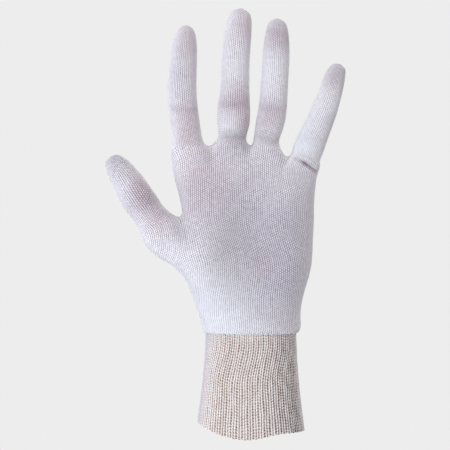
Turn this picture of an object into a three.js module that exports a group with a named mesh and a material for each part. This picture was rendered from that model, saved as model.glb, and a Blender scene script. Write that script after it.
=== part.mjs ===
import * as THREE from 'three';

// A seamless knitted cotton work glove for the left hand, in millimetres. The origin is on the axis of
// the cuff, level with the lowest point of its mouth. +Z runs up to the fingertips, the palm faces -Y
// and +X is the little finger's side.

// Knit
const KNIT = 1.6; // thickness of the plain knit
const RIB_KNIT = 2.1; // thickness of the rib knit, from the top of a rib to the inside
const GAP = 0.3; // clearance where two knitted sections meet

// Cuff
const CUFF_LENGTH = 62;
const CUFF_TOP_WIDTH = 56.6;
const CUFF_TOP_DEPTH = 42;
const CUFF_MOUTH_WIDTH = 67;
const CUFF_MOUTH_DEPTH = 50;
const CUFF_FLARE = 1.6; // 1 widens evenly towards the mouth, more widens late
const MOUTH_LOW = -0.065; // where the mouth hangs lowest: 0 is the front's middle, -1 the thumb's side
const MOUTH_THUMB_SIDE = { lift: 8.2, reach: 0.8 }; // lift above the lowest point, reached this far round
const MOUTH_LITTLE_SIDE = { lift: 3.5, reach: 0.48 };
const MOUTH_BACK_LIFT = 12.5;
const RIBS = 54;
const RIB_RISE = 1.1;
const RIB_DRIFT = 4; // how far a rib wanders sideways on its way down

// Hand
const PALM_WIDTH = 89; // across the finger roots
const PALM_LENGTH = 116; // from the cuff to the webs beside the middle finger
const PALM_DEPTH = 30;
const THUMB_HEIGHT = 72; // from the cuff to the thumb's web
const ROOT_DEPTH = 21; // of a finger tube where it joins the palm
const OVAL_POWER = 2.4; // 2 is an ellipse, more is fuller at the corners

const FINGERS = {
  index: { length: 75.3, width: 17.8, depth: 16.8, leanDegrees: -2.2, curl: 8 },
  middle: { length: 83.5, width: 18.0, depth: 17.0, leanDegrees: 4.0, curl: 7 },
  ring: { length: 80.2, width: 18.0, depth: 16.6, leanDegrees: 3.3, curl: 9 },
  little: { length: 62.8, width: 17.0, depth: 15.4, leanDegrees: 19.2, curl: 9 },
  thumb: { length: 54.0, width: 20.4, depth: 19.6, leanDegrees: -35.2, curl: 9 },
};

// Finger sections. along is a share of the finger's length, front and back are shares of its depth,
// and each finger's pair is its width there and its shift to the side, as shares of its own width.
const SECTIONS = [
  { along: 0.05, front: 0.57, back: 0.55, index: [1.08, -0.11], middle: [0.97, 0.02],
    ring: [0.95, -0.12], little: [1.1, 0.02], thumb: [1.19, -0.05] },
  { along: 0.15, front: 0.55, back: 0.52, index: [0.98, -0.15], middle: [1.12, 0.04],
    ring: [0.955, -0.085], little: [1.095, 0.01], thumb: [1.03, -0.075] },
  { along: 0.28, front: 0.5, back: 0.54, index: [1.03, -0.22], middle: [1.11, 0.01],
    ring: [0.985, 0.01], little: [1.04, 0.035], thumb: [0.99, -0.07] },
  { along: 0.45, front: 0.54, back: 0.48, index: [0.99, -0.25], middle: [0.98, -0.01],
    ring: [0.965, 0.02], little: [0.96, 0.075], thumb: [1.01, -0.07] },
  { along: 0.65, front: 0.49, back: 0.46, index: [0.955, -0.19], middle: [0.95, -0.04],
    ring: [0.93, 0.035], little: [0.88, 0.085], thumb: [0.91, -0.035] },
  { along: 0.85, front: 0.44, back: 0.38, index: [0.82, -0.095], middle: [0.91, -0.03],
    ring: [0.84, 0.02], little: [0.75, 0.05], thumb: [0.74, -0.02] },
  { along: 0.95, front: 0.33, back: 0.28, index: [0.59, -0.04], middle: [0.72, 0.0],
    ring: [0.63, 0.01], little: [0.57, 0.045], thumb: [0.51, -0.03] },
];
const TIP = { spread: 0.19, drop: 0.018 }; // the closed end, shares of the finger's width and length

// The line of finger roots, from the index finger's outer side to the little finger's. across is a
// share of the palm's width from the cuff's axis, up of the palm's length, and the rest of its depth.
const ROOTS = [
  { across: -0.545, up: 0.965, depthwise: 0.0, front: 0.16, back: 0.16, sag: 0.0 },
  { across: -0.276, up: 1.0, depthwise: 0.02, front: 0.19, back: 0.2, sag: 0.02 },
  { across: 0.0, up: 1.006, depthwise: 0.02, front: 0.19, back: 0.2, sag: 0.02 },
  { across: 0.256, up: 0.943, depthwise: 0.02, front: 0.19, back: 0.2, sag: 0.02 },
  { across: 0.474, up: 0.89, depthwise: 0.0, front: 0.15, back: 0.15, sag: 0.0 },
];
// The web between thumb and palm, and the outer side of the thumb's root, whose up is a share of
// THUMB_HEIGHT.
const THUMB_WEB = { across: -0.483, depthwise: -0.14, front: 0.2, back: 0.24, sag: 0.02 };
const THUMB_OUTSIDE = { across: -0.742, up: 0.806, depthwise: -0.26 };
const THUMB_ROOT_DEPTH = 23;

// Palm sections from the finger roots, 0, down to the thumb's web, 1. left and right are shares of the
// palm's width, front and back of its depth.
const UPPER_ROWS = [
  { down: 0.2, left: -0.546, right: 0.459, front: 0.4, back: 0.38 },
  { down: 0.46, left: -0.523, right: 0.444, front: 0.45, back: 0.44 },
  { down: 0.74, left: -0.492, right: 0.438, front: 0.47, back: 0.46 },
  { down: 1.0, left: -0.483, right: 0.436, front: 0.47, back: 0.48 },
];

// Palm sections with the thumb's base in them, down to the wrist. The two heights are shares of the
// thumb web's height at each side, and forward says how far the thumb's side lies in front.
const LOWER_ROWS = [
  { rightUp: 0.833, leftUp: 0.681, left: -0.67, right: 0.431, front: 0.53, back: 0.5, forward: 0.25 },
  { rightUp: 0.667, leftUp: 0.569, left: -0.524, right: 0.423, front: 0.56, back: 0.53, forward: 0.22 },
  { rightUp: 0.5, leftUp: 0.444, left: -0.444, right: 0.403, front: 0.6, back: 0.56, forward: 0.14 },
  { rightUp: 0.333, leftUp: 0.312, left: -0.402, right: 0.362, front: 0.64, back: 0.6, forward: 0.07 },
  { rightUp: 0.18, leftUp: 0.175, left: -0.366, right: 0.343, front: 0.68, back: 0.65, forward: 0.02 },
  { rightUp: 0.085, leftUp: 0.085, left: -0.342, right: 0.344, front: 0.71, back: 0.69, forward: 0 },
  { rightUp: 0.03, leftUp: 0.03, left: -0.33, right: 0.334, front: 0.71, back: 0.7, forward: 0 },
];

// Mounds and hollows of the hand. side is -1 on the palm and 1 on the back. across and wide are shares
// of the palm's width, up and high of its length, and rise of its depth.
const MOUNDS = [
  { name: 'thumb mound', side: -1, across: -0.32, up: 0.36, wide: 0.21, high: 0.27, rise: 0.2 },
  { name: 'heel mound', side: -1, across: 0.26, up: 0.34, wide: 0.15, high: 0.3, rise: 0.1 },
  { name: 'palm hollow', side: -1, across: -0.01, up: 0.6, wide: 0.2, high: 0.22, rise: -0.12 },
  { name: 'index pad', side: -1, across: -0.4, up: 0.88, wide: 0.1, high: 0.1, rise: 0.08 },
  { name: 'little pad', side: -1, across: 0.3, up: 0.78, wide: 0.12, high: 0.1, rise: 0.08 },
  { name: 'index knuckle', side: 1, across: -0.4, up: 0.86, wide: 0.08, high: 0.09, rise: 0.07 },
  { name: 'middle knuckle', side: 1, across: -0.13, up: 0.88, wide: 0.08, high: 0.09, rise: 0.08 },
  { name: 'ring knuckle', side: 1, across: 0.12, up: 0.85, wide: 0.08, high: 0.09, rise: 0.07 },
  { name: 'little knuckle', side: 1, across: 0.33, up: 0.78, wide: 0.08, high: 0.09, rise: 0.06 },
];

// Folds pressed into the palm side. Each runs between two points, across and up as for the mounds,
// and its depth is in thicknesses of the knit.
const FOLDS = [
  { name: 'index joint', from: [-0.57, 1.19], to: [-0.34, 1.18], wide: 0.028, depth: 0.8 },
  { name: 'middle joint', from: [-0.23, 1.212], to: [-0.01, 1.214], wide: 0.028, depth: 0.8 },
  { name: 'ring joint', from: [0.03, 1.195], to: [0.24, 1.185], wide: 0.028, depth: 0.8 },
  { name: 'ring tip', from: [0.09, 1.6], to: [0.18, 1.585], wide: 0.02, depth: 0.5 },
  { name: 'middle root', from: [-0.23, 1.04], to: [-0.035, 1.044], wide: 0.025, depth: 0.7 },
  { name: 'ring root', from: [0.035, 1.043], to: [0.2, 1.02], wide: 0.025, depth: 0.7 },
  { name: 'little middle', from: [0.318, 1.045], to: [0.51, 1.03], wide: 0.022, depth: 0.5 },
  { name: 'little root', from: [0.29, 0.965], to: [0.463, 0.874], wide: 0.028, depth: 1.2 },
];

const SIDES = 12; // columns round a finger: four in front, two at each side and four at the back
const PALM_COLUMNS = 16; // columns across the front of the palm
const THUMB_COLUMNS = 4; // columns that the thumb's base adds to it
const FIT_PASSES = 3;
const COLOURS = { knit: 0xd3cfdb, rib: 0xcabfbc };

const CORNER = 0.93; // where the corner columns of a palm section stand, as a share of its half width

const { clamp, degToRad, lerp, smoothstep } = THREE.MathUtils;
const point = (x, y, z) => new THREE.Vector3(x, y, z);
// Turns a cosine or sine into that of the full oval.
const fuller = (value) => Math.sign(value) * Math.abs(value) ** (2 / OVAL_POWER);

// The cage: where the smooth surface should pass, and four-sided faces that each belong to a section.
const targets = [];
const faces = [];

function addPoint(p) {
  return targets.push(p) - 1;
}

function addBand(lower, upper, piece) {
  lower.forEach((corner, k) => {
    const next = (k + 1) % lower.length;
    faces.push({ corners: [corner, upper[k], upper[next], lower[next]], piece });
  });
}

// Half of a full oval: how far out it is at t, where t runs from -1 to 1 across it.
function bulge(t) {
  return (1 - Math.abs(t) ** OVAL_POWER) ** (1 / OVAL_POWER);
}

// A point of an oval by column, of twelve, starting at +X and running to the front.
function ovalPoint(centre, across, halfWidth, front, back, column) {
  const angle = (column / SIDES) * 2 * Math.PI;
  const depth = Math.sin(angle) > 0 ? front : back;
  return centre.clone()
    .addScaledVector(across, halfWidth * fuller(Math.cos(angle)))
    .add(point(0, -depth * fuller(Math.sin(angle)), 0));
}

function rise(side, x, z) {
  let sum = 0;
  for (const mound of MOUNDS) {
    const dx = (x - mound.across * PALM_WIDTH) / (mound.wide * PALM_WIDTH);
    const dz = (z - CUFF_LENGTH - mound.up * PALM_LENGTH) / (mound.high * PALM_LENGTH);
    sum += mound.side === side ? mound.rise * PALM_DEPTH * Math.exp(-dx * dx - dz * dz) : 0;
  }
  return sum;
}

// The three points of a web, in front, between and behind, that two neighbouring tubes share.
function addWeb(web, z) {
  const x = web.across * PALM_WIDTH;
  const y = web.depthwise * PALM_DEPTH;
  const low = z - web.sag * PALM_LENGTH;
  return {
    front: addPoint(point(x, y - web.front * PALM_DEPTH, low)),
    middle: addPoint(point(x, y, z)),
    back: addPoint(point(x, y + web.back * PALM_DEPTH, low)),
  };
}

// The root ring of a tube between two webs, right one first, with its own points between them.
function addRoot(right, left, depth) {
  const middleRight = targets[right.middle];
  const middleLeft = targets[left.middle];
  const centre = middleRight.clone().add(middleLeft).multiplyScalar(0.5);
  const across = middleRight.clone().sub(middleLeft);
  const halfWidth = across.length() / 2;
  across.normalize();
  const own = (column) => addPoint(ovalPoint(centre, across, halfWidth, depth / 2, depth / 2, column));
  const front = [2, 3, 4].map(own);
  const back = [8, 9, 10].map(own);
  return {
    ring: [right.middle, right.front, ...front, left.front, left.middle, left.back, ...back, right.back],
    centre,
    front,
    back,
  };
}

// A finger from its root ring to its closed tip.
function addFinger(name, root) {
  const finger = FINGERS[name];
  const piece = name === 'thumb' ? 'thumb' : `${name}_finger`;
  const lean = degToRad(finger.leanDegrees);
  const along = point(Math.sin(lean), 0, Math.cos(lean));
  const across = point(Math.cos(lean), 0, -Math.sin(lean));
  const axis = (share, shift) => root.centre.clone()
    .addScaledVector(along, share * finger.length)
    .addScaledVector(across, shift * finger.width)
    .add(point(0, -finger.curl * share ** 1.7, 0));
  let ring = root.ring;
  let last;
  for (const section of SECTIONS) {
    const [width, shift] = section[name];
    const centre = axis(section.along, shift);
    const next = [];
    for (let column = 0; column < SIDES; column++) {
      const p = ovalPoint(centre, across, (width * finger.width) / 2, section.front * finger.depth,
        section.back * finger.depth, column);
      next.push(addPoint(p));
    }
    addBand(ring, next, piece);
    ring = next;
    last = shift;
  }
  const inner = [1, 0, -1].map((side) => addPoint(
    axis(1 - TIP.drop * Math.abs(side), last + TIP.spread * side),
  ));
  const middle = [ring[0], ...inner, ring[6]];
  const front = ring.slice(1, 6);
  const back = [ring[11], ring[10], ring[9], ring[8], ring[7]];
  for (let i = 0; i < 4; i++) {
    faces.push({ corners: [front[i], middle[i], middle[i + 1], front[i + 1]], piece });
    faces.push({ corners: [middle[i], back[i], back[i + 1], middle[i + 1]], piece });
  }
}

// The closed line round a palm section. shares gives each column's place across it, height its z at
// each place, and midline its mid-depth. roundness 1 spaces the columns as round an oval.
function sectionRing(row, shares, height, midline, roundness) {
  const left = row.left * PALM_WIDTH;
  const right = row.right * PALM_WIDTH;
  const half = (right - left) / 2;
  const place = (share) => {
    const even = 1 - 2 * share;
    const oval = Math.sin(even * Math.PI / 3) / Math.sin(Math.PI / 3);
    return CORNER * lerp(even, oval, roundness);
  };
  const surface = (side, share, column) => {
    const t = place(share);
    const x = (left + right) / 2 + t * half;
    const z = height(share, column);
    const depth = (side < 0 ? row.front : row.back) * PALM_DEPTH * bulge(t) + rise(side, x, z);
    return point(x, midline(share) + side * depth, z);
  };
  const front = shares.map((share, column) => surface(-1, share, column));
  const back = shares.map((share, column) => surface(1, share, column)).reverse();
  const end = (x, share, column) => point(x, midline(share), height(share, column));
  return { rightEnd: end(right, 0, 0), front, leftEnd: end(left, 1, shares.length - 1), back };
}

function ringPoints(section) {
  return [section.rightEnd, ...section.front, section.leftEnd, ...section.back].map(addPoint);
}

// The hand from the finger roots to the thumb's web. It returns the last ring, opened at the web.
function addUpperPalm(roots, webs) {
  const order = ['little', 'ring', 'middle', 'index'];
  const between = [webs[4], webs[3], webs[2], webs[1], webs[0]];
  const topFront = order.flatMap((name, i) => [between[i].front, ...roots[name].front]);
  const topBack = order.flatMap((name, i) => [between[i].back, ...[...roots[name].back].reverse()]);
  topFront.push(webs[0].front);
  topBack.push(webs[0].back);
  let ring = [webs[4].middle, ...topFront, webs[0].middle, ...[...topBack].reverse()];
  const edgeRight = targets[webs[4].front].x;
  const edgeLeft = targets[webs[0].front].x;
  const shares = topFront.map((i) => (edgeRight - targets[i].x) / (edgeRight - edgeLeft));
  const base = CUFF_LENGTH + THUMB_HEIGHT;
  const sectionAt = (row) => {
    const height = (share, column) => lerp(targets[topFront[column]].z, base, row.down);
    return sectionRing(row, shares, height, () => 0, 0);
  };
  for (const row of UPPER_ROWS.slice(0, -1)) {
    const next = ringPoints(sectionAt(row));
    addBand(next, ring, 'palm');
    ring = next;
  }
  const lowest = sectionAt(UPPER_ROWS.at(-1));
  const web = addWeb(THUMB_WEB, base);
  const rightEnd = addPoint(lowest.rightEnd);
  const front = lowest.front.slice(0, -1).map(addPoint);
  const back = lowest.back.slice(1).map(addPoint);
  addBand([rightEnd, ...front, web.front, web.middle, web.back, ...back], ring, 'palm');
  return { web, rightEnd, front, back };
}

// The hand from the thumb's web to the wrist.
function addLowerPalm(upper, thumb) {
  const columns = PALM_COLUMNS + THUMB_COLUMNS;
  const front = [...upper.front, ...thumb.ring.slice(1, 6)];
  const back = [...thumb.ring.slice(7, 12), ...upper.back];
  let ring = [upper.rightEnd, ...front, thumb.ring[6], ...back];
  const edgeRight = targets[front[0]].x;
  const edgeLeft = targets[front[columns]].x;
  const topShares = front.map((i) => (edgeRight - targets[i].x) / (edgeRight - edgeLeft));
  LOWER_ROWS.forEach((row, index) => {
    const progress = (index + 1) / LOWER_ROWS.length;
    const shares = topShares.map((share, column) => lerp(share, column / columns, progress));
    const height = (share) => CUFF_LENGTH + THUMB_HEIGHT
      * lerp(row.rightUp, row.leftUp, smoothstep(share, 0.45, 1));
    const midline = (share) => -row.forward * PALM_DEPTH * smoothstep(share, 0.3, 1);
    const next = ringPoints(sectionRing(row, shares, height, midline, progress));
    addBand(next, ring, 'palm');
    ring = next;
  });
  const wristRow = {
    left: -CUFF_TOP_WIDTH / 2 / PALM_WIDTH,
    right: CUFF_TOP_WIDTH / 2 / PALM_WIDTH,
    front: CUFF_TOP_DEPTH / 2 / PALM_DEPTH,
    back: CUFF_TOP_DEPTH / 2 / PALM_DEPTH,
  };
  const even = topShares.map((share, column) => column / columns);
  addBand(ringPoints(sectionRing(wristRow, even, () => CUFF_LENGTH, () => 0, 1)), ring, 'palm');
}

// The root ring of the thumb, from its web round the outer side of the hand.
function addThumbRoot(web) {
  const outside = point(THUMB_OUTSIDE.across * PALM_WIDTH, THUMB_OUTSIDE.depthwise * PALM_DEPTH,
    CUFF_LENGTH + THUMB_OUTSIDE.up * THUMB_HEIGHT);
  const centre = targets[web.middle].clone().add(outside).multiplyScalar(0.5);
  const across = targets[web.middle].clone().sub(outside);
  const halfWidth = across.length() / 2;
  const half = THUMB_ROOT_DEPTH / 2;
  across.normalize();
  const ring = [web.middle, web.front];
  for (let column = 2; column < SIDES - 1; column++) {
    ring.push(addPoint(ovalPoint(centre, across, halfWidth, half, half, column)));
  }
  ring.push(web.back);
  return { ring, centre };
}

function buildCage() {
  const webs = ROOTS.map((web) => addWeb(web, CUFF_LENGTH + web.up * PALM_LENGTH));
  const roots = {};
  ['index', 'middle', 'ring', 'little'].forEach((name, i) => {
    roots[name] = addRoot(webs[i + 1], webs[i], ROOT_DEPTH);
  });
  const upper = addUpperPalm(roots, webs);
  roots.thumb = addThumbRoot(upper.web);
  addLowerPalm(upper, roots.thumb);
  Object.keys(FINGERS).forEach((name) => addFinger(name, roots[name]));
  return { points: targets.map((p) => p.clone()), faces };
}

// Catmull-Clark subdivision of four-sided faces.
const edgeKey = (a, b) => (a < b ? `${a},${b}` : `${b},${a}`);

function findEdges(mesh) {
  const edges = new Map();
  mesh.faces.forEach((face, index) => {
    face.corners.forEach((a, k) => {
      const b = face.corners[(k + 1) % 4];
      const key = edgeKey(a, b);
      if (!edges.has(key)) edges.set(key, { a, b, faces: [] });
      edges.get(key).faces.push(index);
    });
  });
  return edges;
}

function mean(list) {
  const sum = point(0, 0, 0);
  list.forEach((p) => sum.add(p));
  return sum.divideScalar(list.length);
}

// For each point: its neighbours along edges, the far corners of its faces, and its open edges.
function findNeighbours(mesh, edges) {
  const around = mesh.points.map(() => ({ near: [], far: [], open: [] }));
  for (const edge of edges.values()) {
    around[edge.a].near.push(edge.b);
    around[edge.b].near.push(edge.a);
    if (edge.faces.length === 1) {
      around[edge.a].open.push(edge.b);
      around[edge.b].open.push(edge.a);
    }
  }
  mesh.faces.forEach((face) => {
    face.corners.forEach((a, k) => around[a].far.push(face.corners[(k + 2) % 4]));
  });
  return around;
}

function subdivide(mesh) {
  const edges = findEdges(mesh);
  const around = findNeighbours(mesh, edges);
  const corner = (i) => mesh.points[i];
  const centres = mesh.faces.map((face) => mean(face.corners.map(corner)));
  const points = mesh.points.map((p, i) => {
    const { near, far, open } = around[i];
    if (open.length) return p.clone().lerp(mean(open.map(corner)), 1 / 4);
    const n = near.length;
    return p.clone().multiplyScalar(1 - 7 / (4 * n))
      .addScaledVector(mean(near.map(corner)), 3 / (2 * n))
      .addScaledVector(mean(far.map(corner)), 1 / (4 * n));
  });
  const edgePoints = new Map();
  for (const [key, edge] of edges) {
    const ends = [corner(edge.a), corner(edge.b)];
    const inside = edge.faces.length === 2 ? edge.faces.map((f) => centres[f]) : [];
    edgePoints.set(key, points.push(mean([...ends, ...inside])) - 1);
  }
  const quads = [];
  mesh.faces.forEach((face, index) => {
    const middle = points.push(centres[index]) - 1;
    face.corners.forEach((a, k) => {
      const after = edgePoints.get(edgeKey(a, face.corners[(k + 1) % 4]));
      const before = edgePoints.get(edgeKey(a, face.corners[(k + 3) % 4]));
      quads.push({ corners: [a, after, middle, before], piece: face.piece });
    });
  });
  return { points, faces: quads, edgePoints };
}

// Where each point of a mesh ends up on the smooth surface.
function limitPoints(mesh) {
  const around = findNeighbours(mesh, findEdges(mesh));
  return mesh.points.map((p, i) => {
    const { near, far, open } = around[i];
    const corner = (j) => mesh.points[j];
    if (open.length) return p.clone().lerp(mean(open.map(corner)), 1 / 3);
    const n = near.length;
    const sum = p.clone().multiplyScalar(n * n);
    near.forEach((j) => sum.addScaledVector(corner(j), 4));
    far.forEach((j) => sum.add(corner(j)));
    return sum.divideScalar(n * (n + 5));
  });
}

// Moves the cage's points until the smooth surface passes close to their targets.
function fitCage(mesh) {
  for (let pass = 0; pass < FIT_PASSES; pass++) {
    const smooth = limitPoints(mesh);
    mesh.points.forEach((p, i) => p.add(targets[i]).sub(smooth[i]));
  }
}

function vertexNormals(mesh) {
  const normals = mesh.points.map(() => point(0, 0, 0));
  for (const { corners } of mesh.faces) {
    const [a, b, c, d] = corners.map((i) => mesh.points[i]);
    const normal = c.clone().sub(a).cross(d.clone().sub(b));
    corners.forEach((i) => normals[i].add(normal));
  }
  return normals.map((n) => n.normalize());
}

// How deep the folds go at a point of the palm side.
function foldDepth(p) {
  let depth = 0;
  for (const fold of FOLDS) {
    const place = ([across, up]) => new THREE.Vector2(across * PALM_WIDTH, CUFF_LENGTH + up * PALM_LENGTH);
    const start = place(fold.from);
    const run = place(fold.to).sub(start);
    const offset = new THREE.Vector2(p.x, p.z).sub(start);
    const share = clamp(offset.dot(run) / run.lengthSq(), 0, 1);
    const distance = offset.sub(run.multiplyScalar(share)).length();
    const width = fold.wide * PALM_LENGTH;
    depth = Math.max(depth, fold.depth * KNIT * Math.exp(-((distance / width) ** 2)));
  }
  return depth;
}

function pressFolds(mesh) {
  const normals = vertexNormals(mesh);
  mesh.points.forEach((p, i) => {
    const facing = Math.max(0, -normals[i].y);
    p.addScaledVector(normals[i], -foldDepth(p) * facing);
  });
}

// Solids
class Solid {
  constructor() {
    this.positions = [];
    this.triangles = [];
  }

  add(p) {
    return this.positions.push(p.x, p.y, p.z) / 3 - 1;
  }

  at(i) {
    return point(...this.positions.slice(3 * i, 3 * i + 3));
  }

  quad(a, b, c, d) {
    const split = this.at(a).distanceTo(this.at(c)) < this.at(b).distanceTo(this.at(d));
    this.triangles.push(...(split ? [a, b, c, a, c, d] : [a, b, d, b, c, d]));
  }

  mesh(name, colour) {
    const geometry = new THREE.BufferGeometry();
    geometry.setAttribute('position', new THREE.Float32BufferAttribute(this.positions, 3));
    geometry.setIndex(this.triangles);
    geometry.computeVertexNormals();
    const cotton = new THREE.MeshStandardMaterial({ color: colour, roughness: 0.9, metalness: 0 });
    const made = new THREE.Mesh(geometry, cotton);
    made.name = name;
    return made;
  }
}

// One knitted section: the smooth surface outside, the coarser cage inside, and rims between them at
// its open ends. Each rim is drawn back by half the gap.
function knittedSection(piece, cage, outer) {
  const skin = outer.faces.filter((face) => face.piece === piece);
  const lining = cage.faces.filter((face) => face.piece === piece);
  const rims = lining.flatMap((face) => face.corners.map((a, k) => [a, face.corners[(k + 1) % 4]]));
  const directed = new Set(rims.map(([a, b]) => `${a},${b}`));
  const open = rims.filter(([a, b]) => !directed.has(`${b},${a}`));
  const rimPoints = new Set(open.flatMap(([a, b]) => [a, b, outer.edgePoints.get(edgeKey(a, b))]));
  const inward = new Map();
  for (const { corners } of skin) {
    corners.forEach((a, k) => {
      const others = [corners[(k + 1) % 4], corners[(k + 3) % 4]].filter((j) => !rimPoints.has(j));
      if (rimPoints.has(a)) inward.set(a, [...(inward.get(a) ?? []), ...others.map((j) => outer.points[j])]);
    });
  }
  const drawBack = (i) => {
    if (!rimPoints.has(i)) return point(0, 0, 0);
    return mean(inward.get(i)).sub(outer.points[i]).setLength(GAP / 2);
  };
  const solid = new Solid();
  const outside = new Map();
  const inside = new Map();
  skin.forEach((face) => face.corners.forEach((i) => {
    if (!outside.has(i)) outside.set(i, solid.add(outer.points[i].clone().add(drawBack(i))));
  }));
  lining.forEach((face) => face.corners.forEach((i) => {
    const p = outer.points[i].clone().addScaledVector(outer.normals[i], -KNIT).add(drawBack(i));
    if (!inside.has(i)) inside.set(i, solid.add(p));
  }));
  skin.forEach((face) => solid.quad(...face.corners.map((i) => outside.get(i))));
  lining.forEach((face) => solid.quad(...face.corners.map((i) => inside.get(i)).reverse()));
  for (const [a, b] of open) {
    const middle = outside.get(outer.edgePoints.get(edgeKey(a, b)));
    solid.triangles.push(middle, outside.get(a), inside.get(a));
    solid.triangles.push(middle, inside.get(a), inside.get(b));
    solid.triangles.push(middle, inside.get(b), outside.get(b));
  }
  return solid.mesh(piece, COLOURS.knit);
}

// Points evenly spaced round an oval, from the front and towards +X, each with its outward direction.
function evenOval(halfWidth, halfDepth, count) {
  const fine = 720;
  const at = (share) => {
    const angle = (share - 0.25) * 2 * Math.PI;
    return new THREE.Vector2(halfWidth * fuller(Math.cos(angle)), halfDepth * fuller(Math.sin(angle)));
  };
  const lengths = [0];
  for (let i = 1; i <= fine; i++) {
    lengths.push(lengths[i - 1] + at(i / fine).distanceTo(at((i - 1) / fine)));
  }
  return (place) => {
    const wanted = (((place / count) % 1) + 1) % 1 * lengths[fine];
    const i = lengths.findIndex((length) => length > wanted);
    const share = (i - 1 + (wanted - lengths[i - 1]) / (lengths[i] - lengths[i - 1])) / fine;
    const p = at(share);
    const outward = new THREE.Vector2(p.x / halfWidth ** 2, p.y / halfDepth ** 2).normalize();
    return { p, outward };
  };
}

// The cuff's outline. down is 0 at the hand and 1 at the mouth.
function cuffPoint(down, place, count, inset) {
  const flare = down ** CUFF_FLARE;
  const halfWidth = lerp(CUFF_TOP_WIDTH, CUFF_MOUTH_WIDTH, flare) / 2;
  const halfDepth = lerp(CUFF_TOP_DEPTH, CUFF_MOUTH_DEPTH, flare) / 2;
  const drift = RIB_DRIFT / (2 * Math.PI * halfWidth / count) * Math.sin(down * Math.PI) ** 2;
  const { p, outward } = evenOval(halfWidth, halfDepth, count)(place + drift);
  const side = p.x / halfWidth;
  const deep = p.y / halfDepth;
  const around = Math.atan2(side, -deep) / (Math.PI / 2) - MOUTH_LOW;
  const { lift, reach } = around < 0 ? MOUTH_THUMB_SIDE : MOUTH_LITTLE_SIDE;
  const frontLift = lift * smoothstep(Math.abs(around), 0, reach);
  const mouth = lerp(frontLift, MOUTH_BACK_LIFT, smoothstep(deep, 0, 1));
  p.addScaledVector(outward, -inset);
  return point(p.x, p.y, lerp(CUFF_LENGTH - GAP / 2, mouth, down));
}

// The ribbed cuff: a ridge and a groove for each rib outside, smooth inside.
function ribCuff() {
  const solid = new Solid();
  const outerRows = 6;
  const innerRows = 3;
  const grid = (rows, count, inset) => Array.from({ length: rows }, (_, row) => Array.from(
    { length: count },
    (__, place) => solid.add(cuffPoint(row / (rows - 1), place, count, inset(place))),
  ));
  const skin = grid(outerRows, RIBS * 2, (place) => (place % 2) * RIB_RISE);
  const lining = grid(innerRows, RIBS, () => RIB_KNIT);
  const walls = (rows, flip) => {
    for (let row = 1; row < rows.length; row++) {
      rows[row].forEach((low, k) => {
        const next = (k + 1) % rows[row].length;
        const corners = [rows[row - 1][k], low, rows[row][next], rows[row - 1][next]];
        solid.quad(...(flip ? corners.reverse() : corners));
      });
    }
  };
  walls(skin, false);
  walls(lining, true);
  const rim = (outside, inside, flip) => inside.forEach((a, k) => {
    const b = inside[(k + 1) % inside.length];
    const [start, middle, end] = [2 * k, 2 * k + 1, (2 * k + 2) % outside.length].map((i) => outside[i]);
    const fan = [[middle, start, a], [middle, a, b], [middle, b, end]];
    fan.forEach(([p, q, r]) => solid.triangles.push(...(flip ? [p, r, q] : [p, q, r])));
  });
  rim(skin[0], lining[0], true);
  rim(skin[outerRows - 1], lining[innerRows - 1], false);
  return solid.mesh('rib_cuff', COLOURS.rib);
}

const cage = buildCage();
fitCage(cage);
const outer = subdivide(cage);
outer.points = limitPoints(outer);
pressFolds(outer);
outer.normals = vertexNormals(outer);

const glove = new THREE.Group();
const pieces = ['palm', 'index_finger', 'middle_finger', 'ring_finger', 'little_finger', 'thumb'];
pieces.forEach((piece) => glove.add(knittedSection(piece, cage, outer)));
glove.add(ribCuff());

export default glove;
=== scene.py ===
"""A seamless knitted cotton work glove: a plain-knit body and a ribbed cuff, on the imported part's frame.

Lengths in the tables and in the shape functions are millimetres. Meshes are made in metres.
"""

import math

import bpy
import numpy as np
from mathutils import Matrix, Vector


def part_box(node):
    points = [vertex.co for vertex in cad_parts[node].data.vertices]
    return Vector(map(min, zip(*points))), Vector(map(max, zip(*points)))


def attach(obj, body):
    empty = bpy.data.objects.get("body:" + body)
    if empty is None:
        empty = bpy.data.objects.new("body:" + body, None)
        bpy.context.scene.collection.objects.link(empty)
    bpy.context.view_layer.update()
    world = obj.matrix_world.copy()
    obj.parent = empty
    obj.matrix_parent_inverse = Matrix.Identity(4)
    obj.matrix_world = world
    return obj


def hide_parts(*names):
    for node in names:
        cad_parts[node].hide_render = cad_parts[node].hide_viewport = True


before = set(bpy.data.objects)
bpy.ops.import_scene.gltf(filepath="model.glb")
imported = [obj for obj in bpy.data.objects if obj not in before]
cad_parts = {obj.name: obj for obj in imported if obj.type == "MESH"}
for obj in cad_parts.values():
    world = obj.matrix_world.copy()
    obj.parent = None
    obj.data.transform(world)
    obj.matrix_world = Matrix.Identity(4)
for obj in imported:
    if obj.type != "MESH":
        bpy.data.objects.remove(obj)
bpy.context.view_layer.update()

MM = 0.001
KNIT_NODES = ("palm", "index_finger", "middle_finger", "ring_finger", "little_finger", "thumb")
cuff_low, cuff_high = (np.array(corner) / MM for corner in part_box("rib_cuff"))

# Knit
KNIT = 1.6  # thickness of the plain knit
RIB_KNIT = 2.1  # thickness of the rib knit
GAP = 0.3  # clearance between the frame's pieces
COURSE = 1.31  # height of a row of plain stitches
WALE = 1.3  # width of a column of plain stitches in the palm
WALES_PER_COLUMN = 4.25  # 51 wales round a finger
WEB_WALES = [3.75]  # wales of the column from a web's middle to its front or back
ROOT_WALES = [3.85, 5.15, 5.15, 3.85]  # wales of the four columns between two webs, wider in the middle

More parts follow.
